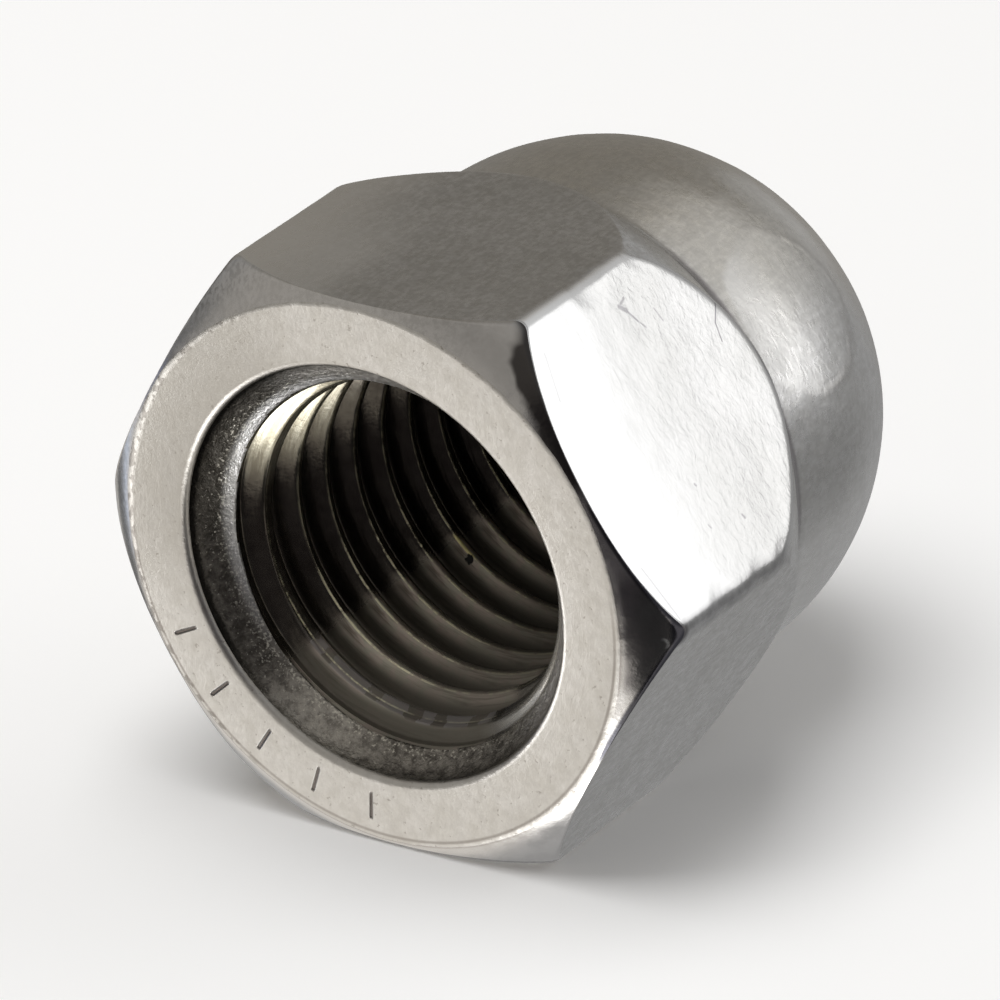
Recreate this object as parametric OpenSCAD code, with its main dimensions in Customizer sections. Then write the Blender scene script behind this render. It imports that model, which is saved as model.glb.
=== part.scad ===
// Domed cap nut, high form, for a metric coarse thread.
// It lies on one of its six flats. The threaded mouth faces -Y and the dome faces +Y.
// The bore stands at the thread's minor diameter, where the crests of the thread end.
// All sizes are in millimetres. Heights are counted along the nut from its bearing face.

/* [Hexagon] */
// Size across two opposite flats
across_flats = 24; // [23.8:0.1:30]
// Round along each of the six long corners
corner_r = 0.5; // [0.2:0.1:1.5]
// Height of the hexagon, from the bearing face to the foot of the dome
hex_h = 13.5; // [11:0.25:16.25]

/* [Dome] */
// Total height of the nut
overall_h = 28; // [26:0.5:34]
// Diameter of the dome
dome_d = 22.8; // [20:0.1:23.2]
// Fillet where the dome meets the hexagon
foot_r = 1; // [0.4:0.1:1.6]

/* [Bearing face] */
// Diameter of the flat ring that bears on the work
face_d = 23.4; // [20:0.1:23.8]
// Round on the outer edge of that ring
face_edge_r = 0.4; // [0.2:0.05:0.8]

/* [Corner chamfers] */
// Height of the front chamfer at a corner
front_h = 2; // [1.6:0.1:3]
// Crown of the front chamfer: the rise of its arc over a straight cut
front_rise = 0.17; // [0.1:0.01:0.3]
// Height of the back chamfer at a corner
back_h = 4.8; // [3.5:0.1:6]

/* [Thread and bore] */
// Nominal diameter of the thread
thread_d = 16; // [13:0.5:16]
// Pitch of the thread
thread_pitch = 2; // [1.5:0.25:2.5]
// Depth of the thread on the diameter, in pitches
thread_fill = 0.95; // [0.85:0.01:1.08]
// Depth of the bore's round wall
bore_depth = 23; // [18:0.5:24]
// Height of the shallow cone that closes the bore
bore_end_h = 1.4; // [0.5:0.1:2]
// Diameter of the flat at the end of that cone
bore_end_d = 7; // [4:0.5:10]

/* [Countersink] */
// Diameter of the countersink at the bearing face
sink_d = 18.1; // [17:0.1:20]
// Depth of the countersink
sink_depth = 3; // [2:0.25:4]
// Round on the countersink's mouth
sink_edge_r = 0.4; // [0.2:0.05:0.8]

/* [Hidden] */
steel_rgb = [0.66, 0.65, 0.63];
// The tools run past the faces they cut by this much
past = 2;
// A round runs into the faces it touches by this much
lap = 0.002;
// A round's tool reaches this many times its own size from the round's centre
spread = 1.5;

// Hexagon: corner radius before rounding, and the centre of a corner's round
corner_reach = across_flats / sqrt(3);
corner_c = (across_flats / 2 - corner_r) / cos(30);

// Dome: radius, and the height of its centre
dome_r = dome_d / 2;
dome_c = overall_h - dome_r;

// Front chamfer: one arc between two points of the half section
front_foot = [face_d / 2, 0];
front_top = [corner_reach, front_h];
front_half = norm(front_top - front_foot) / 2;
front_r = (pow(front_half, 2) + pow(front_rise, 2)) / (2 * front_rise);
front_c = arc_centre(front_foot, front_top, front_r);

// Back chamfer: a ball on the nut's axis, through the corner and through the foot of the dome
back_top = [dome_r, hex_h];
back_low = [corner_reach, hex_h - back_h];
back_c = [0, (back_top * back_top - back_low * back_low) / (2 * back_h)];
back_r = norm(back_top - back_c);

// Round on the ring's outer edge: it touches the bearing face and the front arc
face_edge_c = [
    front_c[0] + sqrt(pow(front_r - face_edge_r, 2) - pow(front_c[1] - face_edge_r, 2)),
    face_edge_r
];

// Fillet at the dome's foot: it touches the back ball and the dome's side
foot_c = [
    dome_r + foot_r,
    back_c[1] + sqrt(pow(back_r + foot_r, 2) - pow(dome_r + foot_r, 2))
];

// Bore and countersink: radii, and the countersink's half angle
bore_r = (thread_d - thread_fill * thread_pitch) / 2;
sink_r = sink_d / 2;
sink_half = atan((sink_r - bore_r) / sink_depth);
// Round on the countersink's mouth: it touches the bearing face and the cone
sink_run = sink_edge_r / tan(45 + sink_half / 2);
sink_edge_c = [sink_r + sink_run, sink_edge_r];

// The point a given distance from one point on the way to another
function along(from, to, distance) = from + (to - from) * distance / norm(to - from);

// Centre of the arc through two points, on the left of the way from one to the other
function arc_centre(from, to, radius) =
    let (half = (to - from) / 2, left = [-half[1], half[0]])
    from + half + left * sqrt(pow(radius / norm(half), 2) - 1);

// Web between an edge and the circle that touches the two sides of that edge
module web(centre, radius, touch_a, edge, touch_b) {
    difference() {
        translate(centre)
            polygon([
                [0, 0],
                spread * (touch_a - centre),
                spread * (edge - centre),
                spread * (touch_b - centre)
            ]);
        translate(along(centre, edge, lap))
            circle(r = radius);
    }
}

// Hexagon with rounded corners
module hexagon() {
    difference() {
        circle(r = corner_reach, $fn = 6);
        for (i = [0:5])
            rotate(60 * i)
                web(
                    [corner_c, 0], corner_r,
                    [corner_c + corner_r * cos(30), -corner_r * sin(30)],
                    [corner_reach, 0],
                    [corner_c + corner_r * cos(30), corner_r * sin(30)]
                );
    }
}

// Body under the dome, as a half section: both chamfers run out past the corners
module body() {
    difference() {
        intersection() {
            square([corner_reach, hex_h]);
            translate(back_c)
                circle(r = back_r);
        }
        difference() {
            translate([front_c[0], -past])
                square([corner_reach, front_c[1] + past]);
            translate(front_c)
                circle(r = front_r);
        }
        web(
            face_edge_c, face_edge_r,
            [face_edge_c[0], 0],
            front_foot,
            along(front_c, face_edge_c, front_r)
        );
    }
}

// Dome as a half section: a ball on a short round neck that starts inside the body
module dome() {
    translate([0, past])
        square([dome_r, dome_c - past]);
    intersection() {
        translate([0, dome_c - past])
            square([dome_r + past, dome_r + 2 * past]);
        translate([0, dome_c])
            circle(r = dome_r);
    }
    web(foot_c, foot_r, [dome_r, foot_c[1]], back_top, along(foot_c, back_c, foot_r));
}

// Bore as a half section: countersink, wall at the minor diameter and a shallow closing cone
module bore() {
    polygon([
        [0, -past],
        [sink_r + past * tan(sink_half), -past],
        [bore_r, sink_depth],
        [bore_r, bore_depth],
        [bore_end_d / 2, bore_depth + bore_end_h],
        [0, bore_depth + bore_end_h]
    ]);
    web(
        sink_edge_c, sink_edge_r,
        [sink_edge_c[0], 0],
        [sink_r, 0],
        [sink_r - sink_run * sin(sink_half), sink_run * cos(sink_half)]
    );
}

// The nut lies on a flat: its axis along Y, its middle over the origin
module cap_nut() {
    color(steel_rgb)
        translate([0, -overall_h / 2, across_flats / 2])
            rotate([-90, 0, 0])
                intersection() {
                    linear_extrude(overall_h)
                        hexagon();
                    rotate_extrude()
                        difference() {
                            union() {
                                body();
                                dome();
                            }
                            bore();
                        }
                }
}

cap_nut();
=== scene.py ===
import math

import bmesh
import bpy
from mathutils import Matrix, Vector, noise


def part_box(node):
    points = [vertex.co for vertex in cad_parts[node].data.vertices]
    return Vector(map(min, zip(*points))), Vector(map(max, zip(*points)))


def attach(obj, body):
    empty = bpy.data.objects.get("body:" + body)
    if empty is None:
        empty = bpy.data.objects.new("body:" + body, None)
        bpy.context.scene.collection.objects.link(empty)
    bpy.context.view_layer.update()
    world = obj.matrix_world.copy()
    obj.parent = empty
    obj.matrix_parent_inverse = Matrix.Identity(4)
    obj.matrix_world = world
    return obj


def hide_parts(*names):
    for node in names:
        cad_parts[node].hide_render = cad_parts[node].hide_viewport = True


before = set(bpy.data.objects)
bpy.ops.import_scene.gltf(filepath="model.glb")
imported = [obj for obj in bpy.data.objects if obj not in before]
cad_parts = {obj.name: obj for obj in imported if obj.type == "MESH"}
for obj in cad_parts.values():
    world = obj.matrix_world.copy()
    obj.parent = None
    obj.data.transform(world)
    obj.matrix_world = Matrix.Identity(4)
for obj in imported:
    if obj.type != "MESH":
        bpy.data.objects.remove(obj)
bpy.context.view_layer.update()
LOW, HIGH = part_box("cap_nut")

bl_info = {
    "name": "Domed cap nut",
    "version": (1, 0, 0),
    "blender": (4, 5, 0),
    "location": "View3D > Sidebar > Cap nut",
    "description": "Builds a forged and turned cap nut with its thread, and a small studio around it",
    "category": "Object",
}

NODE = "cap_nut"
BODY = "root"

# The nut's faces, in the order of its material slots
FORGED, TURNED, CHAMFERED, REAMED, THREADED = range(5)
# Millimetres in a metre; the materials work in millimetres
MM = 1000.0
# Vertices closer than this are one vertex
WELD = 1e-6
SIXTH = math.radians(60)
# Slope of the thread's flanks
FLANK = math.radians(30)
# Two flats with looks of their own, by the angle they face in degrees
BRIGHT_FLAT, TOP_FLAT = 30, 90
# A point belongs to a flat from these distances on: none of it, all of it
NEAR_FLAT = (11.6, 11.8)
# Painted shade on the lower half of the bearing ring's outer edge: from angle, to angle, softness; colour
LOWER_RIM = (185, 365, 12)
RIM_SHADE = (0.25, 0.22, 0.2)
# Plain strokes struck across the bearing ring: number, degrees, degrees; then millimetres
STROKE_COUNT, STROKE_START, STROKE_STEP = 5, 206.0, 15.0
STROKE_RADIUS, STROKE_LENGTH, STROKE_WIDTH = 10.4, 1.3, 0.22
# How long a stroke's ends run out, and half the width of its floor
STROKE_END, STROKE_FLOOR = 0.15, 0.02
# Dents pressed into the forged faces: angle in degrees; height, radius and depth in millimetres
DENTS = (
    (35.5, 17.3, 3.5, 0.13),
    (57, 14.6, 1.6, 0.02),
    (52, 16.2, 1.2, 0.015),
    (24, 14.6, 1.0, 0.014),
    (28, 15.4, 0.7, 0.012),
    (60, 6.0, 1.2, 0.07),
    (60, 9.5, 1.0, 0.05),
    (0, 4.6, 0.9, 0.05),
    (0, 7.4, 0.8, 0.06),
    (0, 9.3, 0.9, 0.07),
    (48, 8.0, 0.5, 0.012),
)
# Waves of the forged faces: how many a millimetre, long and short; share of the short; middle level
LONG_WAVE, SHORT_WAVE, SHORT_SHARE, WAVE_LEVEL = 0.35, 0.9, 0.5, 1.2
# The same for the wandering outer edge of the bearing ring, and how wide it wanders in millimetres
LONG_WANDER, SHORT_WANDER, WANDER_SHARE, WANDER_BAND = 1.3, 3.1, 0.6, 0.45
# Where that edge is worn rounder: angle, narrowness
WORN = ((162, 10), (-38, 16))
# The axis of the nut in the frame: it runs along Y at this height
AXIS_Z = (LOW[2] + HIGH[2]) / 2
FACE_Y = LOW[1]
# Steps along the outside: ring's edge, front chamfer, soft edges, flat, back chamfer, fillet, neck, dome
EDGE_STEPS, FRONT_STEPS, SOFT_STEPS, FLAT_STEPS, BALL_STEPS, FILLET_STEPS, NECK_STEPS = 5, 7, 4, 40, 12, 5, 14
LOW_DOME_STEPS, HIGH_DOME_STEPS = 24, 30
# Steps along the inside: countersink's slope, shoulder, wall and mouth; bore's wall, cone and end
SLOPE_STEPS, SHOULDER_STEPS, WALL_STEPS, MOUTH_STEPS = 3, 6, 2, 7
BORE_STEPS, CONE_STEPS, END_STEPS = 2, 5, 4
# Angles on the dome where its steps change, and where they end just below the top
DOME_CHANGE, DOME_END = math.radians(30), math.radians(89.2)
# A radius on the bearing ring, and the radius of the last ring at the bore's end
RING_MIDDLE, BORE_TIP = 0.0105, 0.0004
# How far the thread's front lies outside its grooves, and how near to the cone a countersunk face lies
THREAD_SPARE, CONE_SLACK = 0.00003, 0.00002
# Turns of the thread's grid before its first crest, which the countersink takes away
TURNS_BEFORE = 2.5


def length(name, description, default, **more):
    return bpy.props.FloatProperty(
        name=name, description=description, default=default, unit="LENGTH", precision=5, **more
    )


def amount(name, description, default):
    return bpy.props.FloatProperty(name=name, description=description, default=default, min=0.0)


class NutSizes(bpy.types.PropertyGroup):
    """Sizes of the forged and turned body"""

    across_flats: length("Across flats", "Size across two opposite flats", HIGH[2] - LOW[2])
    total_height: length("Total height", "From the bearing face to the top of the dome", HIGH[1] - LOW[1])
    hexagon_height: length("Hexagon height", "From the bearing face to the foot of the dome", 0.0135)
    corner_round: length("Corner round", "Round along the six long corners", 0.00075)
    dome_width: length("Dome width", "Diameter of the dome", 0.0228)
    foot_fillet: length("Foot fillet", "Fillet where the dome meets the hexagon", 0.001)
    ring_width: length("Ring width", "Diameter of the flat bearing ring", 0.0234)
    ring_edge: length("Ring edge", "Round on the outer edge of the bearing ring", 0.0004)
    ring_wear: length("Ring wear", "How much rounder that edge is where it is worn", 0.0005)
    front_height: length("Front chamfer", "Height of the front chamfer at a corner", 0.002)
    front_rise: length("Front crown", "Rise of the front chamfer's arc over a straight cut", 0.00017)
    back_height: length("Back chamfer", "Height of the back chamfer at a corner", 0.0048)
    sink_width: length("Countersink width", "Diameter of the countersink at the bearing face", 0.0181)
    shoulder_width: length("Shoulder width", "Diameter where the countersink's wall meets its slope", 0.01772)
    shoulder_depth: length("Shoulder depth", "Depth where the countersink's wall meets its slope", 0.00064)
    knee_width: length("Knee width", "Diameter where the slope turns into the throat", 0.01546)
    knee_depth: length("Knee depth", "Depth where the slope turns into the throat", 0.00177)
    sink_depth: length("Countersink depth", "Depth where the throat runs out into the bore", 0.0037)
    sink_edge: length("Countersink edge", "Round on the countersink's mouth", 0.00036)
    bore_depth: length("Bore depth", "Depth of the bore's round wall", 0.023)
    bore_end_height: length("Bore end", "Height of the cone that closes the bore", 0.0014)
    bore_end_width: length("Bore end width", "Diameter of the flat at the end of that cone", 0.007)
    front_bevel: length("Front bevel", "Softness of the edge between flat and front chamfer", 0.00003)
    tip_bevel: length("Tip bevel", "How much softer that edge is at a corner's tip", 0.00005)
    back_bevel: length("Back bevel", "Softness of the edge between flat and back chamfer", 0.00025)
    back_lift: length("Back lift", "How much farther back the flats reach at their middle", 0.0005)
    relief: length("Relief", "Depth of the waves and dents of the forged faces", 0.00004)
    nibble: length("Nibble", "How far the bearing ring's outer edge wanders", 0.00008)


class ThreadSizes(bpy.types.PropertyGroup):
    """Sizes of the internal thread"""

    root: length("Root diameter", "Diameter at the bottom of the grooves", 0.0162)
    crest: length("Crest diameter", "Diameter at the crests of the thread", 0.0141)
    pitch: length("Pitch", "Distance from one crest to the next", 0.002)
    root_flat: length("Root flat", "Width of the flat at the bottom of a groove", 0.00054)
    round: length("Edge round", "Softness of the crest's and root's edges", 0.00007)
    full_depth: length("Full depth", "Depth of the complete thread", 0.021)
    run_out: length("Run-out", "Length over which the grooves fade out", 0.0015)
    first_crest: length("First crest", "Height of a crest to the nut's right", 0.00028)
    columns: bpy.props.IntProperty(name="Columns", description="Steps in one turn", default=142)
    rows: bpy.props.IntProperty(name="Rows", description="Steps across one pitch", default=26)


class StudioLight(bpy.types.PropertyGroup):
    """Light and floor"""

    room: amount("Room", "Brightness of the room round the nut", 0.3)
    side: amount("Side light", "Brightness of the side softbox", 1.4)
    top: amount("Top light", "Brightness of the top softbox", 3.75)
    floor: bpy.props.FloatVectorProperty(
        name="Floor", description="Colour of the floor", default=(0.965,) * 3, min=0.0, max=1.0,
        subtype="COLOR",
    )


WARM, PLAIN, COOL = (1.0, 0.96, 0.90), (1.0, 1.0, 1.0), (0.88, 0.97, 1.14)
AMBER, BLUE, VIOLET = (1.0, 0.94, 0.85), (0.80, 0.92, 1.45), (1.0, 0.92, 0.98)
# The room as the metal sees it, in soft patches laid over each other:
# azimuth, elevation, inner and outer radius in degrees, brightness, tint
ROOM = (
    (-30, 35, 30, 70, 0.40, WARM),
    (4, 40, 8, 20, 0.32, WARM),
    (-100, 62, 14, 30, 0.28, AMBER),
    (168, 44, 6, 28, 0.56, WARM),
    (0, -90, 75, 88, 0.92, WARM),
    (170, -40, 46, 60, 0.395, PLAIN),
    (-146, 10, 25, 42, 0.268, AMBER),
    (-171, 4, 6, 13, 0.48, PLAIN),
    (148, 31, 10, 34, 0.80, PLAIN),
    (144, -24, 8, 20, 0.30, PLAIN),
    (0, -90, 12, 20, 0.48, PLAIN),
    (-84, 0, 8, 16, 0.22, PLAIN),
    (-97, -22, 4, 9, 0.90, COOL),
    (-86, -9, 3, 7, 0.30, BLUE),
    (-112, -28, 7, 12, 0.15, PLAIN),
    (-61, -20, 8, 13, 4.0, PLAIN),
    (40, 2, 32, 36, 0.07, VIOLET),
    (54, -30, 15, 20, 0.055, PLAIN),
    (2, -56, 10, 18, 4.5, PLAIN),
)

FLOOR_SIZE, FLOOR_ROUGHNESS = 6.0, 0.9
# The softboxes: azimuth and elevation in degrees, distance, size
SIDE_LAMP = (128, 15, 0.6, (0.31, 0.28))
TOP_LAMP = (-60, 80, 0.5, (0.4, 0.4))
# The camera: where it looks from and its roll in degrees, focal length, the point it looks at, distance
CAMERA_AZIMUTH, CAMERA_ELEVATION, CAMERA_ROLL, CAMERA_LENS = 35.4835, 26.0748, -3.5455, 479.6
CAMERA_TARGET, CAMERA_DISTANCE = (-0.0017257, -0.0024634, 0.0099479), 0.5378230


class Section:
    """The nut's half section, worked out from its sizes; points are (radius, height)"""

    def __init__(self, sizes, thread):
        self.sizes = sizes
        self.apothem = sizes.across_flats / 2
        self.reach = sizes.across_flats / math.sqrt(3)
        self.corner = (self.apothem - sizes.corner_round) / math.cos(SIXTH / 2)
        self.dome_r = sizes.dome_width / 2
        self.dome_h = sizes.total_height - self.dome_r
        self.bore_r = thread.crest / 2
        self.sink_r = sizes.sink_width / 2
        self.knee = Vector((sizes.knee_width / 2, sizes.knee_depth))
        self.shoulder = Vector((sizes.shoulder_width / 2, sizes.shoulder_depth))
        self.mouth_slope = (self.shoulder.x - self.knee.x) / (self.knee.y - self.shoulder.y)
        self.throat_slope = (self.knee.x - self.bore_r) / (sizes.sink_depth - self.knee.y)

        foot = Vector((sizes.ring_width / 2, 0.0))
        top = Vector((self.reach, sizes.front_height))
        half = (top - foot) / 2
        self.front_r = (half.length**2 + sizes.front_rise**2) / (2 * sizes.front_rise)
        left = Vector((-half.y, half.x)).normalized()
        self.front_c = foot + half + left * (self.front_r - sizes.front_rise)

        back_top = Vector((self.dome_r, sizes.hexagon_height))
        back_low = Vector((self.reach, sizes.hexagon_height - sizes.back_height))
        centre = (back_top.length_squared - back_low.length_squared) / (2 * sizes.back_height)
        self.back_c = Vector((0.0, centre))
        self.back_r = (back_top - self.back_c).length

        fillet = sizes.foot_fillet
        rise = math.sqrt((self.back_r + fillet) ** 2 - (self.dome_r + fillet) ** 2)
        self.foot_c = Vector((self.dome_r + fillet, centre + rise))

    def ring_round(self, angle):
        """Radius and centre of the round on the bearing ring's outer edge"""
        worn = sum(max(math.cos(angle - math.radians(place)), 0.0) ** narrow for place, narrow in WORN)
        ring = self.sizes.ring_edge + self.sizes.ring_wear * worn
        gap = math.sqrt((self.front_r - ring) ** 2 - (self.front_c.y - ring) ** 2)
        return ring, Vector((self.front_c.x + gap, ring))

    def cone(self, height):
        """Radius of the countersink at a height"""
        above = self.knee.y - height
        return self.knee.x + above * (self.mouth_slope if above > 0 else self.throat_slope)

    def hexagon(self, angle):
        """Radius of the rounded hexagon at an angle from one of its corners"""
        off = (angle + SIXTH / 2) % SIXTH - SIXTH / 2
        across = self.corner * math.sin(off)
        if abs(across) < self.sizes.corner_round * math.sin(SIXTH / 2):
            return self.corner * math.cos(off) + math.sqrt(self.sizes.corner_round**2 - across**2)
        return self.apothem / math.cos(SIXTH / 2 - abs(off))


def arc(centre, radius, start, end, steps):
    """Points on an arc, both ends included; angles from the radius direction"""
    turn = (end - start) / steps
    return [
        centre + radius * Vector((math.cos(start + turn * i), math.sin(start + turn * i)))
        for i in range(steps + 1)
    ]


def angle_of(point, centre):
    way = point - centre
    return math.atan2(way.y, way.x)


def line(start, end, steps):
    return [start.lerp(end, i / steps) for i in range(steps + 1)]


def bend(start, corner, end, steps):
    """Inner points of the soft edge that leaves start towards corner and arrives at end from it"""
    points = []
    for i in range(1, steps):
        t = i / steps
        points.append(start.lerp(corner, t).lerp(corner.lerp(end, t), t))
    return points


def outer_path(section, angle):
    """The outside of the nut at one angle, from the bearing ring to just below the top: (zone, point)"""
    sizes = section.sizes
    reach = section.hexagon(angle)
    front_c, front_r = section.front_c, section.front_r
    back_c, back_r = section.back_c, section.back_r
    runs = []

    def run(points, zone=FORGED):
        runs.append((zone, points))

    ring_r, ring_c = section.ring_round(angle)
    touch = angle_of(ring_c, front_c)
    run(arc(ring_c, ring_r, -math.pi / 2, touch, EDGE_STEPS), TURNED)

    meet = -math.acos((reach - front_c.x) / front_r)
    low = front_c + front_r * Vector((math.cos(meet), math.sin(meet)))
    tip = (reach - section.apothem) / (section.hexagon(0.0) - section.apothem)
    cut = sizes.front_bevel + sizes.tip_bevel * tip**3
    run(arc(front_c, front_r, touch, meet - cut / front_r, FRONT_STEPS)[1:], CHAMFERED)
    flat_low = low + Vector((0.0, cut))
    run(bend(runs[-1][1][-1], low, flat_low, SOFT_STEPS))

    rise = math.acos(reach / back_r)
    high = back_c + back_r * Vector((math.cos(rise), math.sin(rise)))
    cut = sizes.back_bevel
    ball = arc(back_c, back_r, rise + cut / back_r, angle_of(section.foot_c, back_c), BALL_STEPS)
    lift = Vector((0.0, sizes.back_lift * (1.0 - tip) ** 2))
    ball = [point + lift * (1.0 - i / BALL_STEPS) for i, point in enumerate(ball)]
    high += lift
    flat_high = high - Vector((0.0, cut))
    run(line(flat_low, flat_high, FLAT_STEPS))
    run(bend(flat_high, high, ball[0], SOFT_STEPS) + ball)

    fillet = angle_of(back_c, section.foot_c)
    run(arc(section.foot_c, sizes.foot_fillet, fillet + 2 * math.pi, math.pi, FILLET_STEPS)[1:])
    neck = Vector((section.dome_r, section.dome_h))
    run(line(runs[-1][1][-1], neck, NECK_STEPS)[1:])
    centre = Vector((0.0, section.dome_h))
    run(arc(centre, section.dome_r, 0.0, DOME_CHANGE, LOW_DOME_STEPS)[1:])
    run(arc(centre, section.dome_r, DOME_CHANGE, DOME_END, HIGH_DOME_STEPS)[1:])
    return [(zone, point) for zone, points in runs for point in points]


def column_angles(section):
    """Angles round the nut, closer together at the corners; each sixth is the same"""
    half = SIXTH / 2
    edge = math.asin(section.sizes.corner_round * math.sin(half) / section.corner)
    steps = [edge * i / 4 for i in range(5)]
    step = edge / 4
    while steps[-1] < half:
        step = min(step * 1.25, math.radians(1.25))
        steps.append(steps[-1] + step)
    scale = (half - edge) / (steps[-1] - edge)
    steps = [s if s <= edge else edge + (s - edge) * scale for s in steps]
    sector = steps + [SIXTH - s for s in reversed(steps[1:-1])]
    return [SIXTH * i + s for i in range(6) for s in sector]


def place(radius, height, angle):
    """A point of the nut in the frame"""
    return Vector((radius * math.cos(angle), FACE_Y + height, AXIS_Z + radius * math.sin(angle)))


class Shell:
    """Rings of vertices round the nut's axis, joined into faces"""

    def __init__(self, bm):
        self.bm = bm

    def ring(self, angles, points):
        return [self.bm.verts.new(place(p.x, p.y, a)) for a, p in zip(angles, points)]

    def join(self, first, second, zone):
        count = len(first)
        for i in range(count):
            j = (i + 1) % count
            self.bm.faces.new((first[i], first[j], second[j], second[i])).material_index = zone

    def spin(self, angles, path, zone):
        """Turns a path round the axis; returns its last ring"""
        rings = [self.ring(angles, [point] * len(angles)) for point in path]
        for first, second in zip(rings, rings[1:]):
            self.join(first, second, zone)
        return rings[-1]

    def stitch(self, first, first_angles, second, second_angles, zone):
        """Joins two rings with different steps by triangles"""
        i = j = 0
        full = 2 * math.pi
        while i < len(first) or j < len(second):
            next_i = first_angles[i + 1] if i + 1 < len(first) else first_angles[0] + full
            next_j = second_angles[j + 1] if j + 1 < len(second) else second_angles[0] + full
            a, b = first[i % len(first)], second[j % len(second)]
            if j >= len(second) or (i < len(first) and next_i <= next_j):
                tip = first[(i + 1) % len(first)]
                i += 1
            else:
                tip = second[(j + 1) % len(second)]
                j += 1
            self.bm.faces.new((a, tip, b)).material_index = zone

    def close(self, ring, point, zone):
        tip = self.bm.verts.new(point)
        for i in range(len(ring)):
            self.bm.faces.new((ring[i], ring[(i + 1) % len(ring)], tip)).material_index = zone


class Wires:
    """Short ways to add nodes to a tree and link them"""

    def __init__(self, tree):
        self.tree = tree

    def node(self, kind, **settings):
        made = self.tree.nodes.new(kind)
        for name, value in settings.items():
            setattr(made, name, value)
        return made

    def feed(self, socket, value):
        if isinstance(value, bpy.types.NodeSocket):
            self.tree.links.new(value, socket)
        else:
            socket.default_value = value

    def call(self, kind, inputs=None, output=0, **settings):
        """A node with its inputs fed by name or number; returns one output"""
        made = self.node(kind, **settings)
        for key, value in (inputs or {}).items():
            self.feed(made.inputs[key], value)
        return made.outputs[output]

    def split(self, vector):
        """The three parts of a vector"""
        made = self.node("ShaderNodeSeparateXYZ")
        self.feed(made.inputs[0], vector)
        return made.outputs

    def math(self, operation, *values, clamp=False):
        made = self.node("ShaderNodeMath", operation=operation, use_clamp=clamp)
        for socket, value in zip(made.inputs, values):
            self.feed(socket, value)
        return made.outputs[0]

    def times(self, first, *more):
        """Product of numbers"""
        for value in more:
            first = self.math("MULTIPLY", first, value)
        return first

    def most(self, first, second):
        return self.math("MAXIMUM", first, second)

    def rest(self, value):
        return self.math("SUBTRACT", 1.0, value)

    def blend(self, factor, low, high):
        """Number between low and high"""
        return self.call("ShaderNodeMix", {0: factor, 2: low, 3: high})

    def paint(self, factor, low, high):
        """Colour between low and high"""
        low, high = (part if isinstance(part, bpy.types.NodeSocket) else (*part, 1.0) for part in (low, high))
        return self.call("ShaderNodeMix", {0: factor, 6: low, 7: high}, 2, data_type="RGBA")

    def fade(self, value, start, end, low=0.0, high=1.0):
        """Smooth step from low at start to high at end"""
        inputs = {"Value": value, "From Min": start, "From Max": end, "To Min": low, "To Max": high}
        return self.call("ShaderNodeMapRange", inputs, interpolation_type="SMOOTHSTEP")

    def band(self, value, start, end, soft):
        """1 between start and end, 0 outside, with soft sides"""
        rise = self.fade(value, start - soft, start + soft)
        return self.times(rise, self.fade(value, end - soft, end + soft, 1.0, 0.0))

    def noise(self, place, scale, detail=2.0, rough=0.5, distortion=0.0):
        inputs = {"Vector": place, "Scale": scale, "Detail": detail, "Roughness": rough}
        return self.call("ShaderNodeTexNoise", {**inputs, "Distortion": distortion})


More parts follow.
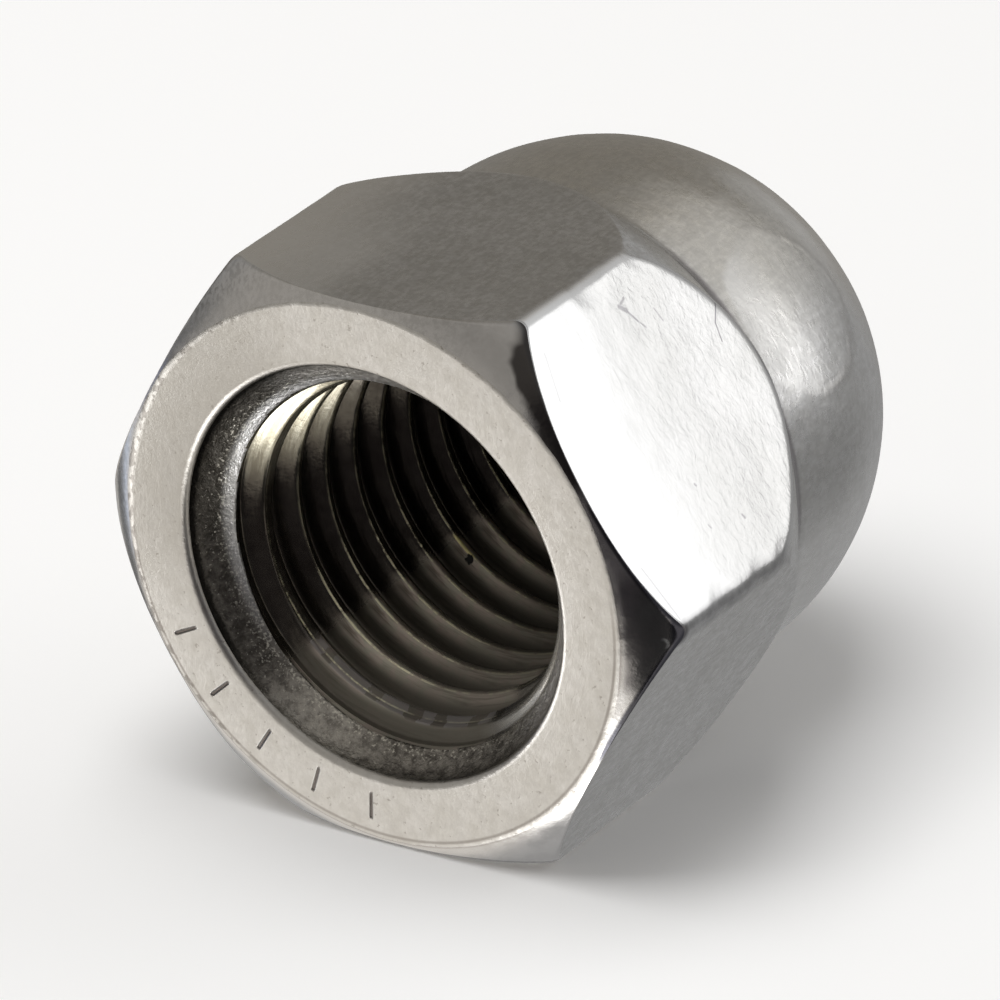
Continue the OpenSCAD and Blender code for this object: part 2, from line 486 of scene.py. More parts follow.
def thread_tree(values):
    """Geometry nodes for the inside of the nut, with an input for each value: a grid wound round the axis and
    pressed into turns"""
    tree = bpy.data.node_groups.new("thread_turns", "GeometryNodeTree")
    tree.is_modifier = True
    face = tree.interface
    face.new_socket("Geometry", in_out="INPUT", socket_type="NodeSocketGeometry")
    for name, value in values.items():
        kind = "Int" if isinstance(value, int) else "Material" if name == "Material" else "Float"
        face.new_socket(name, in_out="INPUT", socket_type="NodeSocket" + kind)
    face.new_socket("Geometry", in_out="OUTPUT", socket_type="NodeSocketGeometry")

    wires = Wires(tree)
    calc = wires.math
    given = wires.node("NodeGroupInput").outputs
    turns, pitch, start = given["Turns"], given["Pitch"], given["Start Height"]
    crest, root = given["Crest Radius"], given["Root Radius"]
    columns = calc("MULTIPLY_ADD", turns, given["Columns"], 1.0)
    rows = calc("ADD", given["Rows"], 1.0)
    size = {"Size X": turns, "Size Y": 1.0, "Vertices X": columns, "Vertices Y": rows}
    grid = wires.call("GeometryNodeMeshGrid", size)
    along_x, along_y, _ = wires.split(wires.call("GeometryNodeInputPosition"))
    turn = calc("ADD", along_x, calc("MULTIPLY", turns, 0.5))
    across = calc("ADD", along_y, 0.5)

    # Height along the nut: one pitch a turn, held between the front and the back
    way = calc("ADD", turn, across)
    height = calc("MULTIPLY_ADD", way, pitch, start)
    held = calc("MINIMUM", wires.most(height, given["Front"]), given["Back"])

    # The groove: flanks between the crest and the root
    held_way = calc("DIVIDE", calc("SUBTRACT", held, start), pitch)
    phase = calc("FRACT", calc("SUBTRACT", held_way, turn))
    beside = calc("ABSOLUTE", calc("SUBTRACT", phase, 0.5))
    from_root = calc("SUBTRACT", 0.5, beside)
    half_flat = calc("MULTIPLY", given["Root Flat"], -0.5)
    from_root = calc("MULTIPLY_ADD", from_root, pitch, half_flat)
    flank = calc("MULTIPLY_ADD", from_root, -1.0 / math.tan(FLANK), root)
    lower = calc("SMOOTH_MIN", flank, root, given["Edge Round"])
    turned = calc("SMOOTH_MAX", lower, crest, given["Edge Round"])

    # The grooves fade out behind the full depth
    past = calc("SUBTRACT", held, given["Full Depth"])
    fade = calc("SUBTRACT", 1.0, calc("DIVIDE", past, given["Run Out"]), clamp=True)
    groove = calc("SUBTRACT", turned, crest)
    wall = calc("MULTIPLY_ADD", groove, fade, crest)

    # The countersink takes away what stands inside its cone
    above = calc("SUBTRACT", given["Knee Height"], held)
    mouth = calc("MULTIPLY_ADD", above, given["Mouth Slope"], given["Knee Radius"])
    throat = calc("MULTIPLY_ADD", above, given["Throat Slope"], given["Knee Radius"])
    cone = wires.most(mouth, throat)
    radius = wires.most(wall, cone)

    # Kept for the material: how deep in the groove a point lies, from 0 to 1, with a minus on the flank
    # that faces the dome; and where the countersink has cut
    full = calc("SUBTRACT", root, crest)
    depth = calc("DIVIDE", calc("SUBTRACT", wall, crest), full)
    facing = calc("SIGN", calc("SUBTRACT", 0.5, phase))
    marks = {"groove": calc("MULTIPLY", depth, facing), "cut": calc("GREATER_THAN", cone, wall)}
    marked = grid
    for name, value in marks.items():
        given_mark = {"Geometry": marked, "Name": name, "Value": value}
        marked = wires.call("GeometryNodeStoreNamedAttribute", given_mark, data_type="FLOAT", domain="POINT")

    angle = calc("MULTIPLY", turn, -2 * math.pi)
    x = calc("MULTIPLY", radius, calc("COSINE", angle))
    z = calc("MULTIPLY_ADD", radius, calc("SINE", angle), given["Axis"])
    y = calc("ADD", held, given["Face"])
    where = wires.call("ShaderNodeCombineXYZ", {0: x, 1: y, 2: z})
    wound = wires.call("GeometryNodeSetPosition", {"Geometry": marked, "Position": where})
    welded = wires.call("GeometryNodeMergeByDistance", {"Geometry": wound, "Distance": WELD})
    real = wires.call("GeometryNodeRealizeInstances", {"Geometry": welded})
    done = wires.call("GeometryNodeSetMaterial", {"Geometry": real, "Material": given["Material"]})
    wires.feed(wires.node("NodeGroupOutput").inputs[0], done)
    return tree


def make_thread(section, thread, material):
    """Runs the thread's nodes once and returns their result as a plain mesh"""
    front = section.knee.y - (thread.root / 2 + THREAD_SPARE - section.knee.x) / section.mouth_slope
    back = thread.full_depth + thread.run_out
    start = thread.first_crest - TURNS_BEFORE * thread.pitch
    values = {
        "Pitch": thread.pitch,
        "Crest Radius": thread.crest / 2, "Root Radius": thread.root / 2,
        "Root Flat": thread.root_flat, "Edge Round": thread.round,
        "Start Height": start, "Front": front, "Back": back,
        "Full Depth": thread.full_depth, "Run Out": thread.run_out,
        "Knee Radius": section.knee.x, "Knee Height": section.knee.y,
        "Mouth Slope": section.mouth_slope, "Throat Slope": section.throat_slope,
        "Face": FACE_Y, "Axis": AXIS_Z,
        "Turns": math.ceil((back - start) / thread.pitch) + 1,
        "Columns": thread.columns, "Rows": thread.rows, "Material": material,
    }
    mesh = bpy.data.meshes.new("thread_start")
    holder = bpy.data.objects.new("thread_start", mesh)
    bpy.context.scene.collection.objects.link(holder)
    modifier = holder.modifiers.new("thread", "NODES")
    modifier.node_group = thread_tree(values)
    for item in modifier.node_group.interface.items_tree:
        if item.in_out == "INPUT" and item.name in values:
            modifier[item.identifier] = values[item.name]
    bpy.context.view_layer.update()
    ready = holder.evaluated_get(bpy.context.evaluated_depsgraph_get())
    made = bpy.data.meshes.new_from_object(ready)
    holder.modifiers.clear()
    bpy.data.objects.remove(holder)
    return made, front, back


class Skin(Wires):
    """One steel skin of the nut, with its colour and relief so far. Places are in millimetres from the
    middle of the bearing face, angles in degrees round the axis: 0 is the nut's right, 90 its top"""

    def __init__(self, name):
        self.made = bpy.data.materials.new(name)
        self.made.use_nodes = True
        super().__init__(self.made.node_tree)
        self.shader = self.tree.nodes["Principled BSDF"]
        raw = self.call("ShaderNodeTexCoord", output="Object")
        centred = {"Vector": raw, "Location": (0.0, -FACE_Y * MM, -AXIS_Z * MM), "Scale": (MM, MM, MM)}
        self.place = self.call("ShaderNodeMapping", centred)
        self.x, self.height, self.z = self.split(self.place)
        self.radius = self.long_side(self.x, self.z)
        self.angle = self.math("DEGREES", self.math("ARCTAN2", self.z, self.x))
        self.colour = self.normal = None

    def long_side(self, a, b):
        """Long side of a right triangle"""
        return self.math("SQRT", self.math("ADD", self.times(a, a), self.times(b, b)))

    def toward(self, angle):
        """Distance from the axis along the direction of an angle"""
        turn = math.radians(angle)
        return self.math("MULTIPLY_ADD", self.x, math.cos(turn), self.times(self.z, math.sin(turn)))

    def side(self, angle):
        """1 on the flat that faces an angle, 0 on its neighbours; and the distance along the flat"""
        return self.fade(self.toward(angle), *NEAR_FLAT), self.toward(angle + 90)

    def sector(self, start, end, soft):
        """1 between two angles, start below end, which may pass 180"""
        spare = 60.0
        turned = self.math("FLOORED_MODULO", self.math("SUBTRACT", self.angle, start - spare), 360.0)
        return self.band(turned, spare, end - start + spare, soft)

    def stroke(self, across, start, end, width):
        """1 on a straight stroke between two points (along the flat, height)"""
        way = Vector(end) - Vector(start)
        long = way.length
        way.normalize()
        du = self.math("SUBTRACT", across, start[0])
        dh = self.math("SUBTRACT", self.height, start[1])
        on = self.math("MULTIPLY_ADD", du, way.x, self.times(dh, way.y))
        off = self.math("MULTIPLY_ADD", du, -way.y, self.times(dh, way.x))
        past = self.math("SUBTRACT", on, self.math("MINIMUM", self.most(on, 0.0), long))
        return self.fade(self.long_side(past, off), width * 0.3, width, 1.0, 0.0)

    def gap(self, angle, height, radius):
        """Distance from a point given by angle, height and radius"""
        turn = math.radians(angle)
        point = (radius * math.cos(turn), height, radius * math.sin(turn))
        return self.call("ShaderNodeVectorMath", {0: self.place, 1: point}, "Value", operation="DISTANCE")

    def grain(self, scale, detail=2.0, rough=0.5):
        """Noise over the skin, with this many waves a millimetre"""
        return self.noise(self.place, scale, detail, rough)

    def fibres(self, across, along, detail=2.0, rough=0.5, distortion=0.0):
        """Noise with its own scale across the nut's axis and along it"""
        drawn = self.call("ShaderNodeMapping", {"Vector": self.place, "Scale": (across, along, across)})
        return self.noise(drawn, 1.0, detail, rough, distortion)

    def base(self, low, high, share):
        """Starts the colour between two shades"""
        self.colour = self.paint(share, low, high)

    def coat(self, shade, *shares):
        """Lays a shade over the colour, as far as the product of the shares"""
        self.colour = self.paint(self.times(*shares), self.colour, shade)

    def relief(self, height, depth):
        """Adds relief from a height between 0 and 1 that stands for a depth in millimetres"""
        inputs = {"Height": height, "Strength": 1.0, "Distance": depth / MM}
        if self.normal is not None:
            inputs["Normal"] = self.normal
        self.normal = self.call("ShaderNodeBump", inputs)

    def finish(self, roughness, metallic=1.0):
        inputs = {"Base Color": self.colour, "Normal": self.normal, "Roughness": roughness}
        for name, value in (*inputs.items(), ("Metallic", metallic)):
            self.feed(self.shader.inputs[name], value)
        return self.made


# Scratches on the bright flat: (along, height) of both ends and width in millimetres, depth of colour
SCRATCHES = (
    ((5.42, 7.6), (5.24, 7.12), 0.09, 0.5),
    ((5.24, 7.12), (4.95, 7.4), 0.15, 0.6),
    ((4.95, 7.4), (4.35, 7.72), 0.08, 0.55),
    ((4.35, 7.72), (3.95, 8.0), 0.06, 0.3),
    ((4.4, 8.9), (3.8, 9.05), 0.07, 0.35),
    ((3.15, 12.3), (2.5, 11.75), 0.06, 0.8),
    ((2.5, 11.75), (1.75, 11.6), 0.05, 0.7),
    ((-2.3, 6.2), (-2.36, 6.24), 0.09, 0.4),
    ((-4.4, 7.85), (-4.55, 7.9), 0.09, 0.5),
    ((-3.95, 5.8), (-4.1, 5.86), 0.07, 0.3),
    ((5.4, 1.95), (3.5, 1.45), 0.07, 0.22),
    ((-3.8, 1.15), (-6.3, 1.75), 0.07, 0.28),
)


def forged_steel():
    """Flats, back chamfers and dome: blasted and tumbled, with fine dents and a few scratches"""
    skin = Skin("forged_steel")
    fade, height, radius = skin.fade, skin.height, skin.radius
    mottle = skin.grain(1.6, 3.0, 0.6)
    skin.base((0.60, 0.595, 0.585), (0.65, 0.645, 0.64), fade(skin.grain(0.22), 0.35, 0.65))
    off_pole = fade(radius, 3.0, 7.5)
    warm_side = skin.times(skin.sector(38, 112, 14), fade(height, 12.5, 14.5))
    skin.coat((0.64, 0.61, 0.55), warm_side, off_pole, 0.8)

    # All but the bright flat are mottled, brushed and speckled, the dome less than the flats
    bright, across = skin.side(BRIGHT_FLAT)
    dull = skin.math("MULTIPLY_ADD", bright, -0.9, 1.0)
    skin.coat((0.56, 0.55, 0.54), dull, fade(mottle, 0.3, 0.7, 0.0, 0.2))
    milled = skin.times(dull, fade(height, 14.5, 13.0, 0.6, 1.0))
    brushed = fade(skin.fibres(4.5, 1.1, 3.0, 0.65), 0.35, 0.65, 0.0, 0.36)
    skin.coat((0.38, 0.37, 0.34), milled, brushed)
    speckle = fade(skin.grain(3.4, 2.0, 0.7), 0.38, 0.62, 0.0, 0.34)
    skin.coat((0.34, 0.33, 0.31), milled, speckle)

    # Painted highlights: paler colour on the back chamfer behind the bright flat, on the dome's crown and its
    # lower right, and on the top flat
    back_highlight = skin.times(skin.sector(3, 52, 8), fade(radius, 13.6, 13.2), skin.band(height, 10.0, 13.2, 0.6))
    crown = skin.times(skin.sector(24, 74, 16), fade(height, 20.0, 22.0, 0.0, 0.5))
    crown = skin.most(crown, skin.times(skin.sector(-50, -6, 8), 0.3))
    crown = skin.times(crown, off_pole, fade(height, 13.6, 14.4))
    skin.coat((0.92, 0.91, 0.89), skin.most(skin.times(back_highlight, dull, 0.6), crown))
    # Painted highlight on the top flat: lighter towards its left, most of all near the front
    top, along = skin.side(TOP_FLAT)
    skin.coat((0.82, 0.81, 0.79), top, fade(along, 0.3, 3.0), fade(height, 9.5, 3.5), 0.6)
    skin.coat((0.82, 0.80, 0.765), top, fade(along, 2.5, 6.5), 0.7)

    # The bright flat, smoothest towards the bearing face, and its scratches
    smooth = skin.times(bright, fade(height, 9.0, 1.5))
    skin.coat((0.76, 0.76, 0.76), smooth, 0.8)
    skin.coat((0.2, 0.2, 0.2), bright, 0.12)
    cuts = 0.0
    for start, end, width, depth in SCRATCHES:
        cuts = skin.most(cuts, skin.times(skin.stroke(across, start, end, width), depth))
    skin.coat((0.12, 0.11, 0.13), cuts, bright, 0.85)

    # Painted shade along the dome's foot and on the corner below the bright flat
    foot = skin.times(skin.band(height, 13.2, 13.8, 0.12), fade(radius, 12.2, 11.9))
    skin.coat((0.20, 0.18, 0.19), foot, skin.sector(-10, 58, 8), 0.65)
    corner_shade = skin.most(fade(mottle, 0.3, 0.7, 0.3, 0.6), fade(height, 2.4, 1.8))
    skin.coat((0.17, 0.165, 0.17), fade(radius, 13.35, 13.6), skin.sector(-3.5, 1.5, 1.0), corner_shade)

    # The dent on the dome, crisp along its far side, with a painted highlight inside it and a painted shade
    # line along its rim
    wander = skin.math("MULTIPLY_ADD", skin.grain(0.5, 1.0), 1.2, -0.6)
    rim = skin.math("ADD", skin.gap(35.0, 17.3, 11.2), wander)
    inside, on_dome = fade(rim, 3.7, 3.25), fade(height, 13.9, 14.2)
    crisp = skin.times(fade(height, 15.0, 18.0), on_dome)
    skin.coat((0.85, 0.84, 0.82), inside, fade(height, 17.5, 15.0), on_dome, 0.5)
    skin.coat((0.26, 0.24, 0.22), skin.band(rim, 3.35, 3.8, 0.25), crisp, 0.25)

    peel = fade(skin.fibres(2.1, 3.0, 3.0, 0.55, 0.5), 0.25, 0.75)
    skin.relief(skin.times(peel, skin.blend(bright, 1.0, 1.15), skin.blend(smooth, 1.0, 0.1)), 0.0052)
    skin.relief(skin.grain(9.0, 2.0, 0.6), 0.0010)
    skin.relief(skin.rest(skin.times(inside, crisp)), 0.03)
    return skin.finish(skin.blend(bright, fade(mottle, 0.25, 0.75, 0.25, 0.33), 0.27))


def turned_steel():
    """Bearing ring: faced on a lathe, with small pits, painted shade along the lower half of its outer edge,
    dark nicks on its left edge and a row of struck strokes
    """
    skin = Skin("turned_steel")
    fade, radius = skin.fade, skin.radius
    mottle = skin.grain(0.9, 3.0, 0.6)
    skin.base((0.625, 0.605, 0.57), (0.685, 0.665, 0.635), fade(mottle, 0.3, 0.7))
    skin.coat((0.46, 0.44, 0.405), skin.sector(112, 190, 14), 0.62)
    pits = skin.grain(3.0, 3.0, 0.7)
    skin.coat((0.3, 0.27, 0.24), fade(pits, 0.39, 0.31), 0.65)
    speckle = skin.grain(1.9, 3.0, 0.65)
    skin.coat((0.44, 0.42, 0.39), fade(speckle, 0.38, 0.62, 0.0, 0.24))
    # Painted shade along the lower half of the outer edge; dark nicks along its left
    rim = skin.band(radius, 11.5, 11.62, 0.05)
    skin.coat(RIM_SHADE, rim, skin.sector(*LOWER_RIM), 0.6)
    nicks = fade(skin.grain(2.4), 0.5, 0.56, 0.0, 0.7)
    skin.coat((0.22, 0.20, 0.18), fade(radius, 11.45, 11.6), skin.sector(118, 235, 12), nicks)

    # Plain strokes struck across the ring, one every STROKE_STEP degrees
    turned = skin.math("SUBTRACT", skin.angle, STROKE_START - 360.0 - STROKE_STEP / 2)
    slot = skin.math("FLOORED_MODULO", turned, STROKE_STEP)
    aside = skin.times(skin.math("SUBTRACT", slot, STROKE_STEP / 2), math.radians(STROKE_RADIUS))
    aside = skin.math("ABSOLUTE", aside)
    out = skin.math("ABSOLUTE", skin.math("SUBTRACT", radius, STROKE_RADIUS))
    row = skin.sector(STROKE_START - STROKE_STEP / 2, STROKE_START + STROKE_STEP * (STROKE_COUNT - 0.5), 1.0)
    struck = skin.times(row, fade(out, STROKE_LENGTH / 2, STROKE_LENGTH / 2 - STROKE_END))
    dent = skin.times(fade(aside, STROKE_WIDTH / 2, STROKE_FLOOR), struck)
    skin.coat((0.12, 0.10, 0.09), dent, 0.92)

    turning = {0: skin.times(radius, 9.0), 1: skin.times(skin.angle, 0.02)}
    skin.relief(skin.noise(skin.call("ShaderNodeCombineXYZ", turning), 1.0, 2.0, 0.6), 0.003)
    skin.relief(pits, 0.019)
    skin.relief(skin.rest(dent), 0.09)
    return skin.finish(fade(mottle, 0.3, 0.7, 0.33, 0.4))


def chamfered_steel():
    """Front chamfers: turned smooth, with painted shade beside the bright flat, torn by the tool at the upper
    left
    """
    skin = Skin("chamfered_steel")
    fade, radius = skin.fade, skin.radius
    mottle = skin.grain(1.3, 3.0, 0.6)
    skin.base((0.59, 0.575, 0.56), (0.64, 0.625, 0.61), fade(mottle, 0.3, 0.7))
    # Painted shade beside the lower half of the bearing ring's edge
    skin.coat(RIM_SHADE, fade(radius, 11.95, 11.7), skin.sector(*LOWER_RIM), 0.55)
    # Painted shade on the chamfer beside the bright flat, with a ragged edge
    bright, below = skin.toward(BRIGHT_FLAT), skin.toward(BRIGHT_FLAT - 60)
    reach = skin.math("ADD", bright, fade(radius, 12.7, 13.7, 0.0, -0.3))
    reach = skin.math("ADD", reach, fade(skin.grain(1.0, 1.0), 0.3, 0.7, -0.15, 0.15))
    skin.coat((0.07, 0.063, 0.06), fade(reach, 11.20, 11.50), skin.sector(30, 63, 3), 0.95)
    # Painted shade on the chamfer at the nut's right, just outside the ring
    chamfer_shade = skin.times(skin.sector(-11, 12, 3), fade(radius, 11.85, 12.1))
    skin.coat((0.17, 0.16, 0.165), chamfer_shade, fade(mottle, 0.3, 0.6, 0.65, 0.85))

    # Painted shade as dark lines along the flats' edges and at the corner between them, and a burr beside it
    # painted white as a glint
    edge_shade = skin.times(fade(below, 11.72, 11.86), skin.sector(-30, 6, 3))
    edge_shade = skin.most(edge_shade, skin.times(fade(bright, 11.78, 11.9), skin.sector(-4, 28, 2)))
    tip = skin.times(fade(radius, 13.25, 13.42), skin.sector(-7, 7, 2))
    skin.coat((0.05, 0.05, 0.065), skin.most(edge_shade, tip), 0.9)
    burr_glint = skin.times(skin.band(skin.gap(-1.9, 1.12, 13.03), 0.20, 0.32, 0.04), fade(skin.z, -0.66, -0.5))
    skin.coat((1.0, 1.0, 1.0), burr_glint, fade(skin.height, 1.0, 1.2), 0.8)

    hatch = skin.fibres(4.5, 1.4, 3.0, 0.65)
    skin.coat((0.36, 0.35, 0.33), skin.sector(66, 185, 8), fade(hatch, 0.35, 0.65, 0.0, 0.4))
    torn = skin.times(skin.sector(118, 176, 12), fade(radius, 12.2, 13.0))
    skin.coat((0.14, 0.13, 0.12), torn, fade(hatch, 0.5, 0.6, 0.0, 0.55))
    # Painted highlight: paler colour at the top
    skin.coat((0.82, 0.80, 0.77), skin.sector(84, 128, 8), 0.3)
    skin.relief(skin.fibres(0.8, 1.6), 0.012)
    skin.relief(skin.grain(6.0, 2.0, 0.6), 0.004)
    return skin.finish(fade(mottle, 0.3, 0.7, 0.17, 0.24))


def reamed_steel():
    """Countersink: torn by the tool, with bright specks, painted shade on its left and along its mouth,
    painted light at its lower left and from its right round to its top, and a painted highlight along its
    inner edge
    """
    skin = Skin("reamed_steel")
    fade, radius = skin.fade, skin.radius
    coarse, fine = skin.grain(2.4, 4.0, 0.7), skin.grain(7.5, 3.0, 0.65)
    skin.base((0.12, 0.11, 0.098), (0.31, 0.29, 0.26), fade(coarse, 0.35, 0.65))
    # Painted shade on the upper and lower left, weaker towards the lower left
    fading = skin.rest(skin.times(skin.sector(185, 240, 20), 0.45))
    skin.coat((0.03, 0.027, 0.022), skin.sector(105, 228, 8), fading, 0.75)
    # Painted light: a mottled paler patch at the lower left, and near white from the right round to the top
    skin.coat((0.56, 0.53, 0.48), skin.sector(232, 258, 12), fade(coarse, 0.3, 0.6, 0.25, 0.7))
    skin.coat((1.0, 0.97, 0.93), skin.sector(325, 474, 17), 0.95)
    speck = skin.math("MULTIPLY_ADD", fade(radius, 8.75, 7.9), 0.13, fine)
    skin.coat((0.78, 0.75, 0.66), fade(speck, 0.62, 0.74, 0.0, 0.7))
    # Painted highlight along the inner edge on the left
    inner = skin.times(skin.sector(95, 205, 25), fade(radius, 8.25, 7.85))
    skin.coat((1.0, 1.0, 1.0), inner, fade(fine, 0.3, 0.6, 0.65, 1.0))
    # Painted shade: a dark line along the mouth on the left
    mouth = skin.math("MULTIPLY_ADD", coarse, 0.3, radius)
    skin.coat((0.012, 0.011, 0.01), fade(mouth, 8.98, 9.06), skin.sector(98, 222, 12), 0.9)
    skin.relief(coarse, 0.07)
    skin.relief(fine, 0.022)
    return skin.finish(fade(fine, 0.3, 0.7, 0.42, 0.28), 0.92)


def threaded_steel():
    """Thread: dark, with painted light on its lower left and upper left and near the mouth on the right,
    painted shade deep in the grooves and painted highlights in places along the crests
    """
    skin = Skin("threaded_steel")
    fade, height = skin.fade, skin.height
    groove = skin.call("ShaderNodeAttribute", output="Fac", attribute_name="groove")
    mottle = skin.grain(1.7, 3.0, 0.65)
    run = {0: skin.times(skin.x, 0.35), 1: skin.times(skin.z, 0.35), 2: skin.times(groove, 4.5)}
    streaks = skin.noise(skin.call("ShaderNodeCombineXYZ", run), 1.0, 3.0, 0.6, 0.6)
    skin.base((0.065, 0.056, 0.047), (0.105, 0.094, 0.078), fade(mottle, 0.3, 0.7))
    # Painted light on the lower left: brown and streaked, with painted shade deep in the grooves and towards
    # the bottom
    lit = skin.sector(226, 300, 4)
    brown = skin.paint(fade(mottle, 0.4, 0.6), (0.62, 0.53, 0.46), (0.55, 0.52, 0.43))
    brown = skin.paint(fade(streaks, 0.45, 0.75), brown, (0.22, 0.185, 0.15))
    brown = skin.paint(skin.times(fade(groove, 0.12, 0.65), 0.9), brown, (0.075, 0.068, 0.052))
    brown = skin.paint(skin.times(skin.sector(254, 310, 12), 0.55), brown, (0.12, 0.11, 0.09))
    skin.coat(brown, lit)
    # Painted light on the upper left near the mouth, in olive, and near white on the right near the mouth
    olive = skin.paint(fade(streaks, 0.4, 0.6), (0.36, 0.33, 0.25), (0.60, 0.57, 0.46))
    skin.coat(olive, skin.sector(95, 163, 12), fade(height, 10.0, 5.0))
    skin.coat((1.0, 0.98, 0.92), skin.sector(312, 400, 18), fade(height, 5.5, 2.5))

    # Chatter of the countersinking tool on the first crests: blocks of steel grey and brown
    cut = skin.call("ShaderNodeAttribute", output="Fac", attribute_name="cut")
    facets = skin.math("ADD", skin.math("DIVIDE", skin.angle, 5.0), skin.times(mottle, 2.0))
    blocks = skin.call("ShaderNodeTexWhiteNoise", {"W": skin.math("FLOOR", facets)}, noise_dimensions="1D")
    steel = skin.paint(fade(blocks, 0.35, 0.65), (0.25, 0.235, 0.235), (0.10, 0.09, 0.078))
    skin.coat(steel, fade(cut, 0.4, 0.9), skin.sector(222, 330, 3), fade(height, 2.2, 2.4), 0.7)

    # Painted highlights along the crests' edges, strongest on the lower left
    share = skin.most(skin.sector(208, 262, 14), 0.25)
    share = skin.times(share, fade(mottle, 0.38, 0.58, 0.15, 1.0))
    crest_highlight = skin.times(skin.band(groove, 0.012, 0.070, 0.015), share)
    skin.coat((1.0, 0.95, 0.68), crest_highlight)

    # A nick in one turn, painted dark as its shade, with a burr beside it painted bright as a glint
    burr_glint = fade(skin.gap(229.5, 12.84, 7.13), 0.75, 0.45)
    skin.coat((1.0, 0.90, 0.45), burr_glint, skin.band(groove, 0.01, 0.11, 0.015))
    ragged = skin.math("MULTIPLY_ADD", skin.grain(2.6), 0.9, -0.45)
    nick_shade = skin.math("ADD", skin.gap(234.1, 12.78, 7.18), ragged)
    skin.coat((0.008, 0.008, 0.006), fade(nick_shade, 0.17, 0.08))
    grain = skin.grain(7.0, 3.0, 0.65)
    for bumps, depth in ((mottle, 0.008), (streaks, 0.010), (grain, 0.004)):
        skin.relief(bumps, depth)
    roughness = skin.blend(lit, fade(grain, 0.3, 0.7, 0.13, 0.2), 0.4)
    return skin.finish(skin.blend(crest_highlight, roughness, 0.4), skin.blend(lit, 0.85, 0.5))


def wear(bm, section):
    """Presses shallow waves and dents into the forged faces, and lets the ring's outer edge wander"""
    zones = {vert: {face.material_index for face in vert.link_faces} for vert in bm.verts}
    bm.normal_update()
    sizes = section.sizes
    dents = []
    for angle, height, radius, deepest in DENTS:
        turn = math.radians(angle)
        reach = section.hexagon(turn) * MM if height < sizes.hexagon_height * MM else section.dome_r * MM
        dents.append((Vector((reach * math.cos(turn), height, reach * math.sin(turn))), radius, deepest))
    moves = {}
    for vert, found in zones.items():
        spot = Vector((vert.co.x, vert.co.y - FACE_Y, vert.co.z - AXIS_Z)) * MM
        if found == {FORGED}:
            wave = noise.noise(spot * LONG_WAVE) + SHORT_SHARE * noise.noise(spot * SHORT_WAVE)
            depth = sizes.relief * (WAVE_LEVEL + wave) / 2
            for centre, radius, deepest in dents:
                share = (spot - centre).length / radius
                depth += deepest / MM * max(1.0 - share * share, 0.0)
            moves[vert] = vert.normal * -depth
        elif found & {TURNED, CHAMFERED}:
            out = Vector((spot.x, 0.0, spot.z))
            near = max(0.0, 1.0 - abs(out.length - sizes.ring_width * MM / 2) / WANDER_BAND)
            wander = 1.0 + noise.noise(out * LONG_WANDER) + WANDER_SHARE * noise.noise(out * SHORT_WANDER)
            moves[vert] = out.normalized() * -sizes.nibble * near * max(wander, 0.0) / 2
    for vert, move in moves.items():
        vert.co += move
    bm.normal_update()


